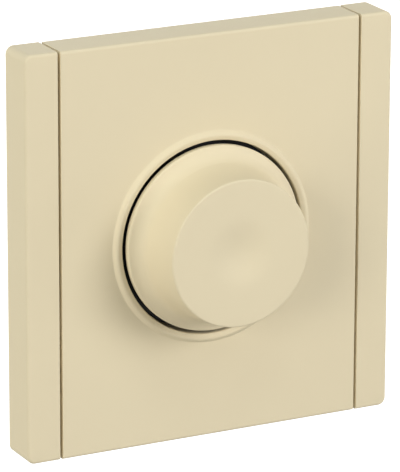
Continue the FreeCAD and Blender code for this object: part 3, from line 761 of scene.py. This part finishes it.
class DIMMER_OT_frame(bpy.types.Operator):
    """Shapes the frame: two hollow strips with rounded edges and corners, and the bars between them"""
    bl_idname = "dimmer.frame"
    bl_label = "Frame"

    STRIP_WIDTH = 7.0 * MM
    # The bars: where they lie along z, how far they run into the strips, and their rounding.
    BAR_ENDS = (33.5 * MM, 38.6 * MM)
    BAR_ROOT = 0.5 * MM
    BAR_EDGE = 0.2 * MM
    # How far in from the edges the flat front is divided, and the least radius of an inner corner.
    FRONT_INSET = 3.0 * MM
    LEAST_RADIUS = 0.02 * MM
    # Points along a straight edge and round a corner.
    EDGE_STEPS = 60
    CORNER_STEPS = 14

    def seam(self, high):
        """Where the right strip's edge along the seam lies."""
        return high.x - self.STRIP_WIDTH + sizes().seam_ease

    def shares(self):
        """Places along a straight edge from -1 to 1, crowded towards its ends."""
        return np.sin(np.linspace(-np.pi / 2, np.pi / 2, self.EDGE_STEPS))

    def spine(self, high):
        """The strip's middle line in step with its outline, so that both sides end in the same points."""
        t = self.shares()
        end = np.ones(self.EDGE_STEPS + self.CORNER_STEPS)
        z = np.concatenate([-end, t, end, -t]) * (high.z - self.STRIP_WIDTH / 2)
        return np.full_like(z, high.x - self.STRIP_WIDTH / 2), z

    def outline(self, inset_seam, inset, radius, high):
        """The right strip's outline: seam edge, then ends and outer edge with round corners."""
        x0, x1, z1 = self.seam(high) + inset_seam, high.x - inset, high.z - inset
        t = self.shares()
        c, s = arc(0, 90, self.CORNER_STEPS)
        r = max(radius - inset, self.LEAST_RADIUS)
        end = (t + 1) / 2
        cx, cz = x1 - r, z1 - r
        x = np.concatenate([x0 + (cx - x0) * end, cx + r * s, np.full_like(t, x1), cx + r * c,
                            cx + (x0 - cx) * end, np.full_like(t, x0)])
        z = np.concatenate([np.full_like(t, -z1), -cz - r * c, t * cz, cz + r * s,
                            np.full_like(t, z1), -t * z1])
        return x, z

    def execute(self, context):
        size = sizes()
        low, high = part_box("frame")
        y_front = low.y
        y_ceiling = y_front + size.wall
        corner = size.corner_round
        seam = self.seam(high)
        spine_x, spine_z = self.spine(high)
        rows = []

        def add(x, y, z):
            """One more row of the grid."""
            rows.append(np.stack([x, np.broadcast_to(y, x.shape), z], -1))

        def edge_distance(x, z):
            """How far a point lies inside the strip's outer edge, ends and round corners."""
            past_x = np.clip(x - (high.x - corner), 0, None)
            past_z = np.clip(abs(z) - (high.z - corner), 0, None)
            straight = np.minimum(high.x - x, high.z - abs(z))
            return np.where((past_x > 0) & (past_z > 0), corner - np.hypot(past_x, past_z), straight)

        x, z = self.outline(self.FRONT_INSET, self.FRONT_INSET, corner, high)
        add(spine_x, y_front, spine_z)
        add(x, y_front, z)
        for share in 1 - arc(90, 0, ROUND_STEPS)[0]:
            x, z = self.outline(size.seam_round * share, size.edge_round * share, corner, high)
            y = y_front + drop(x - seam, size.seam_round) + drop(edge_distance(x, z), size.edge_round)
            add(x, y, z)
        seam_side = (x < seam + SAME_POINT) & (abs(z) < high.z - size.wall)
        y_back = np.where(seam_side, BAR_BACK, high.y)
        add(x, y_back, z)
        x, z = self.outline(size.wall, size.wall, corner, high)
        add(x, y_back, z)
        add(x, y_ceiling, z)
        add(spine_x, y_ceiling, spine_z)
        strip = surface(np.array(rows))
        parts = [strip, mirrored(strip)]
        reach = seam + self.BAR_ROOT
        for side in (-1, 1):
            z0, z1 = sorted(side * end for end in self.BAR_ENDS)
            parts.append(rounded_block((-reach, BAR_FRONT, z0), (reach, BAR_BACK, z1), self.BAR_EDGE))
        make_piece("frame_moulded", parts, "frame", material_for("frame"))
        return {"FINISHED"}


class DIMMER_OT_metalwork(bpy.types.Operator):
    """Rounds the edges of the strap, claws, nuts and the other plain metal pieces"""
    bl_idname = "dimmer.metalwork"
    bl_label = "Metalwork"

    NODES = ("support_strap", "right_claw", "left_claw", "bushing_nuts", "terminal_screws",
             "terminal_clamps", "potentiometer_case", "shaft", "shaft_clip", "heat_sink",
             "contact_bridge", "fixed_contacts", "wiper_contact")

    def execute(self, context):
        for node in self.NODES:
            edged_copy(node, sizes().metal_edge, material_for(node))
        return {"FINISHED"}


class DIMMER_OT_threads(bpy.types.Operator):
    """Cuts the threads of the claw screws and of the bushing"""
    bl_idname = "dimmer.threads"
    bl_label = "Threads"

    # Radii of a claw screw's head and shank, and of the bushing's barrel.
    HEAD = 2.8 * MM
    SCREW = 1.5 * MM
    BARREL = 5.0 * MM
    # Where the threads start, behind the strap's front and behind the bushing's.
    SCREW_START = 2.0 * MM
    BARREL_START = 0.2 * MM
    # Depth of a thread as a share of its pitch.
    DEPTH = 0.6

    def cut(self, node, axes, radius, pitch, y_start, y_end):
        """Gives a node's plain shanks a thread."""
        depth = self.DEPTH * pitch
        material = material_for(node)
        edged_copy(node, sizes().metal_edge, material, shanks=axes, shank_radius=radius, thread_depth=depth)
        turns = [thread(radius, depth, pitch, y_start, y_end, centre) for centre in axes]
        make_piece(node + "_thread", turns, node, material, THREAD_SMOOTH, whole=False)

    def execute(self, context):
        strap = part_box("support_strap")[0].y
        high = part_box("claw_screws")[1]
        across = high.x - self.HEAD
        self.cut("claw_screws", [(-across, 0.0), (across, 0.0)], self.SCREW, sizes().screw_pitch,
                 strap + self.SCREW_START, high.y)
        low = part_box("potentiometer_bushing")[0]
        self.cut("potentiometer_bushing", [(0.0, 0.0)], self.BARREL, sizes().bushing_pitch,
                 low.y + self.BARREL_START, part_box("housing_lid")[0].y)
        return {"FINISHED"}


class DIMMER_OT_insert(bpy.types.Operator):
    """Rounds the edges of the disc, the housing and the parts in it, and winds the choke"""
    bl_idname = "dimmer.insert"
    bl_label = "Insert"

    # The insulating disc is a black sheet in the well behind the knob: painted shade for the gap round the
    # knob.
    NODES = ("insulating_disc", "housing", "housing_lid", "terminal_block", "wiper_rotor", "switch_case",
             "switch_plunger", "choke_core", "suppression_capacitor", "timing_capacitor", "triac", "diac",
             "resistors", "circuit_board", "resistor_wafer")
    WINDING_CORNER = 1.5 * MM

    def execute(self, context):
        for node in self.NODES:
            edged_copy(node, sizes().plastic_edge, material_for(node))
        turns = wound(*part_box("choke_winding"), sizes().wire, self.WINDING_CORNER)
        copper = material_for("choke_winding")
        make_piece("choke_winding_turns", [turns], "choke_winding", copper, THREAD_SMOOTH)
        return {"FINISHED"}


class DIMMER_OT_spring(bpy.types.Operator):
    """Gives the leaf spring its finish, on a mesh of its own"""
    bl_idname = "dimmer.spring"
    bl_label = "Leaf spring"

    # Rounding of the leaf's edges, and how far the plunger comes in.
    EDGE = 0.05 * MM
    TRAVEL = 1.2 * MM

    def execute(self, context):
        piece = edged_copy("switch_spring", self.EDGE, material_for("switch_spring"), segments=2)
        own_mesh(piece)
        return {"FINISHED"}


class DIMMER_OT_stage(bpy.types.Operator):
    """Makes the pale floor, the soft lights and the camera"""
    bl_idname = "dimmer.stage"
    bl_label = "Stage"

    # How far the floor lies under the frame, and its width in metres.
    FLOOR_DROP = 250 * MM
    FLOOR_SIZE = 12.0
    FLOOR_STEPS = 9
    PAPER = "#B0B0AE"
    # The paper's top-up where it is seen, and the distances from the origin over which it rises to white,
    # in metres.
    TOP_UP = 0.6
    NEAR = 0.3
    FAR = 0.65
    # Strength of the light from all round.
    FILL = 0.16
    # Soft boxes: name, degrees round from the front and up, width in metres, power in watts, colour.
    LAMPS = (
        ("left", -76, 0, 0.45, 3.3, "#FFFBF0"),
        ("left front", -56, 16, 0.40, 3.9, "#FFFDF7"),
        ("left high", -80, 45, 0.36, 3.4, "#F6FFFF"),
        ("right front", 38, 18, 0.50, 8.0, "#FFFFFF"),
        ("right", 65, 0, 0.36, 1.2, "#FFFFFF"),
        ("right high", 30, 45, 0.36, 0.9, "#FFFFFF"),
        ("top", 0, 66, 0.36, 1.3, "#F6FFFF"),
        ("back", 180, 8, 1.50, 8.5, "#FFFFFF"),
    )
    LAMP_DISTANCE = 1.2
    # The camera's place, its turns about x, y and z in degrees, and its focal length in image pixels.
    CAMERA_PLACE = (-353.244 * MM, -692.586 * MM, 238.175 * MM)
    CAMERA_TURN = (72.8177, -0.1880, -27.0873)
    FOCAL_PIXELS = 4128.3
    CLIP_START = 0.01

    def floor(self):
        """A wide sheet of paper under the object."""
        half = self.FLOOR_SIZE / 2
        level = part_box("frame")[0].z - self.FLOOR_DROP
        edge = np.linspace(-half, half, self.FLOOR_STEPS)
        x, y = np.meshgrid(edge, edge, indexing="ij")
        points, faces = surface(np.stack([x, y, np.full_like(x, level)], -1), columns_closed=False)
        mesh = bpy.data.meshes.new("floor")
        mesh.from_pydata(points.tolist(), [], faces[:, ::-1].tolist())
        mesh.materials.append(self.paper())
        plane = bpy.data.objects.new("floor", mesh)
        bpy.context.scene.collection.objects.link(plane)

    def seen(self, tree):
        """One for a ray that shows the background: from the camera, in a reflection or through glass."""
        path = add_node(tree, "LightPath").outputs
        direct = add_node(tree, "Math", {0: path["Is Camera Ray"], 1: path["Is Glossy Ray"]},
                          operation="MAXIMUM")
        every = add_node(tree, "Math", {0: direct.outputs[0], 1: path["Is Transmission Ray"]},
                         operation="MAXIMUM")
        return every.outputs[0]

    def paper(self):
        """Pale backdrop paper: matt, to keep the object's shadow, and topped up to white further away."""
        material, tree, place = new_material("pale paper")
        paper = add_node(tree, "BsdfDiffuse", {"Color": (*linear(self.PAPER), 1)})
        away = add_node(tree, "VectorMath", {0: place}, operation="LENGTH")
        light = add_node(tree, "MapRange", {"Value": away.outputs["Value"], "From Min": self.NEAR,
                                            "From Max": self.FAR, "To Min": self.TOP_UP, "To Max": 1.0})
        shown = add_node(tree, "Math", {0: self.seen(tree), 1: light.outputs["Result"]},
                         operation="MULTIPLY")
        glow = add_node(tree, "Emission", {"Color": (1, 1, 1, 1), "Strength": shown.outputs[0]})
        both = add_node(tree, "AddShader", {0: paper.outputs[0], 1: glow.outputs[0]})
        add_node(tree, "OutputMaterial", {"Surface": both.outputs[0]})
        return material

    def sky(self):
        """Soft light from all round, white where the camera or a reflection sees it."""
        world = bpy.data.worlds.new("studio")
        bpy.context.scene.world = world
        world.use_nodes = True
        tree = world.node_tree
        tree.nodes.clear()
        fill = add_node(tree, "Background", {"Color": (1, 1, 1, 1), "Strength": self.FILL})
        white = add_node(tree, "Background", {"Color": (1, 1, 1, 1), "Strength": 1.0})
        both = add_node(tree, "MixShader", {0: self.seen(tree), 1: fill.outputs[0], 2: white.outputs[0]})
        add_node(tree, "OutputWorld", {"Surface": both.outputs[0]})

    def lamp(self, name, round_front, up, size, power, code):
        """A square soft box that faces the dial."""
        across, rise = math.radians(round_front), math.radians(up)
        place = np.array([
            math.sin(across) * math.cos(rise),
            -math.cos(across) * math.cos(rise),
            math.sin(rise),
        ])
        light = bpy.data.lights.new(name, "AREA")
        light.size = size
        light.energy = power
        light.color = linear(code)
        lamp = bpy.data.objects.new(name, light)
        bpy.context.scene.collection.objects.link(lamp)
        lamp.location = place * self.LAMP_DISTANCE
        lamp.rotation_euler = (-lamp.location).to_track_quat("-Z", "Y").to_euler()

    def camera(self):
        """The camera, where the photograph was taken from."""
        lens = bpy.data.cameras.new("camera")
        lens.sensor_width = SENSOR_MM
        lens.lens = self.FOCAL_PIXELS * SENSOR_MM / IMAGE_LONG_SIDE
        lens.clip_start = self.CLIP_START
        eye = bpy.data.objects.new("camera", lens)
        bpy.context.scene.collection.objects.link(eye)
        eye.location = self.CAMERA_PLACE
        eye.rotation_euler = [math.radians(a) for a in self.CAMERA_TURN]
        bpy.context.scene.camera = eye

    def execute(self, context):
        bpy.context.scene.view_settings.view_transform = "Standard"
        self.floor()
        self.sky()
        for lamp in self.LAMPS:
            self.lamp(*lamp)
        self.camera()
        return {"FINISHED"}


class DIMMER_PT_panel(bpy.types.Panel):
    """Lists the operators, the sizes and the colours"""
    bl_idname = "DIMMER_PT_panel"
    bl_label = "Dimmer"
    bl_space_type = "VIEW_3D"
    bl_region_type = "UI"
    bl_category = "Dimmer"

    def draw(self, context):
        for operator in OPERATORS:
            self.layout.operator(operator.bl_idname)
        for group in (context.scene.dimmer_sizes, context.scene.dimmer_colours):
            for name in group.__annotations__:
                self.layout.prop(group, name)


OPERATORS = (DIMMER_OT_knob, DIMMER_OT_centre_plate, DIMMER_OT_frame, DIMMER_OT_metalwork,
             DIMMER_OT_threads, DIMMER_OT_insert, DIMMER_OT_spring, DIMMER_OT_stage)
CLASSES = (DimmerColours, DimmerSizes) + OPERATORS + (DIMMER_PT_panel,)


def register():
    """Adds the classes, and the sizes and colours to every scene."""
    for item in CLASSES:
        bpy.utils.register_class(item)
    bpy.types.Scene.dimmer_sizes = bpy.props.PointerProperty(type=DimmerSizes)
    bpy.types.Scene.dimmer_colours = bpy.props.PointerProperty(type=DimmerColours)


def unregister():
    """Takes away what register added."""
    del bpy.types.Scene.dimmer_colours
    del bpy.types.Scene.dimmer_sizes
    for item in reversed(CLASSES):
        bpy.utils.unregister_class(item)


def main():
    """Makes the pieces and the stage."""
    register()
    bpy.ops.dimmer.knob()
    bpy.ops.dimmer.centre_plate()
    bpy.ops.dimmer.frame()
    bpy.ops.dimmer.metalwork()
    bpy.ops.dimmer.threads()
    bpy.ops.dimmer.insert()
    bpy.ops.dimmer.spring()
    bpy.ops.dimmer.stage()


if __name__ == "__main__":
    main()
